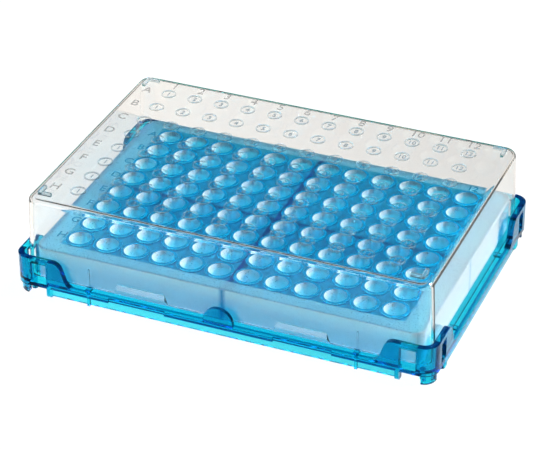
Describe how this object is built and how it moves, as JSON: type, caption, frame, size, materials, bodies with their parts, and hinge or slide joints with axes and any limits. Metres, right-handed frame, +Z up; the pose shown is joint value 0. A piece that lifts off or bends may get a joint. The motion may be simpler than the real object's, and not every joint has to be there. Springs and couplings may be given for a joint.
{
  "type": "covered tube rack box",
  "caption": "Low box with an open base frame, a lift-out rack with a grid of open wells, and a clear lift-off cover.",
  "frame": {"origin": "centre of the footprint, on the bench plane under the skirt and feet", "axes": "+X along the twelve columns towards column 12, +Y towards row A at the back, +Z up"},
  "size_m": [0.1314, 0.0884, 0.0323],
  "materials": {
    "base_plastic": "translucent deep blue moulded plastic, smooth",
    "rack_plastic": "translucent light blue moulded plastic, smooth deck",
    "cover_plastic": "clear colourless moulded plastic, polished"
  },
  "bodies": {
    "base": {"base_frame": "base_plastic"},
    "rack": {"tube_rack": "rack_plastic"},
    "cover": {"cover": "cover_plastic"}
  },
  "joints": [
    {"name": "rack_lift", "type": "slide", "parent": "base", "child": "rack", "axis": [0, 0, 1], "range_m": [0, 0.04]},
    {"name": "cover_lift", "type": "slide", "parent": "rack", "child": "cover", "axis": [0, 0, 1], "range_m": [0, 0.08]}
  ]
}
